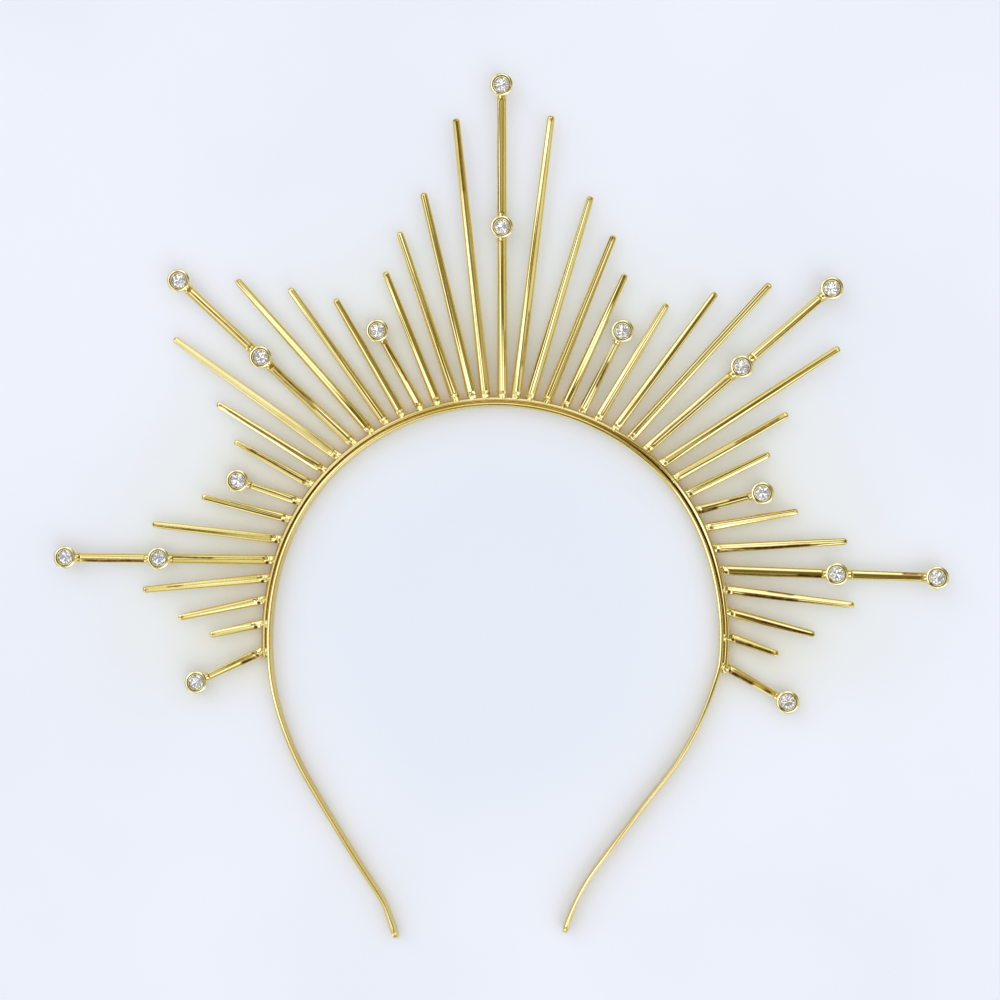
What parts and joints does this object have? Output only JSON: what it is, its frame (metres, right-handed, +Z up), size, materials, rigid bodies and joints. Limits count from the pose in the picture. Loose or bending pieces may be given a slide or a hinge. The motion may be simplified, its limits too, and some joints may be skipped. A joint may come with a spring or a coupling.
{
  "type": "crown headband",
  "caption": "Metal crown headband: a springy head strip with a sunburst comb of tapering rays soldered to it, and faceted clear stones in round cups on some of the rays.",
  "frame": {"origin": "middle of the whole outline seen from above, on the surface that the headband lies on", "axes": "+X across the head to the right, +Y towards the tip of the middle ray, +Z up off the surface, the way the stones face"},
  "size_m": [0.2675, 0.259, 0.0073],
  "materials": {
    "gold": "polished gold plate, with fine casting marks and dark lines where it is soldered",
    "crystal": "clear faceted crystal with a bright foiled back"
  },
  "bodies": {
    "root": {"crown_frame": "gold", "stone_middle_mid": "crystal", "stone_middle_tip": "crystal", "stone_left_5": "crystal", "stone_right_5": "crystal", "stone_left_9_mid": "crystal", "stone_left_9_tip": "crystal", "stone_right_9_mid": "crystal", "stone_right_9_tip": "crystal", "stone_left_13": "crystal", "stone_right_13": "crystal", "stone_left_16_mid": "crystal", "stone_left_16_tip": "crystal", "stone_right_16_mid": "crystal", "stone_right_16_tip": "crystal", "stone_left_20": "crystal", "stone_right_20": "crystal"}
  },
  "joints": []
}
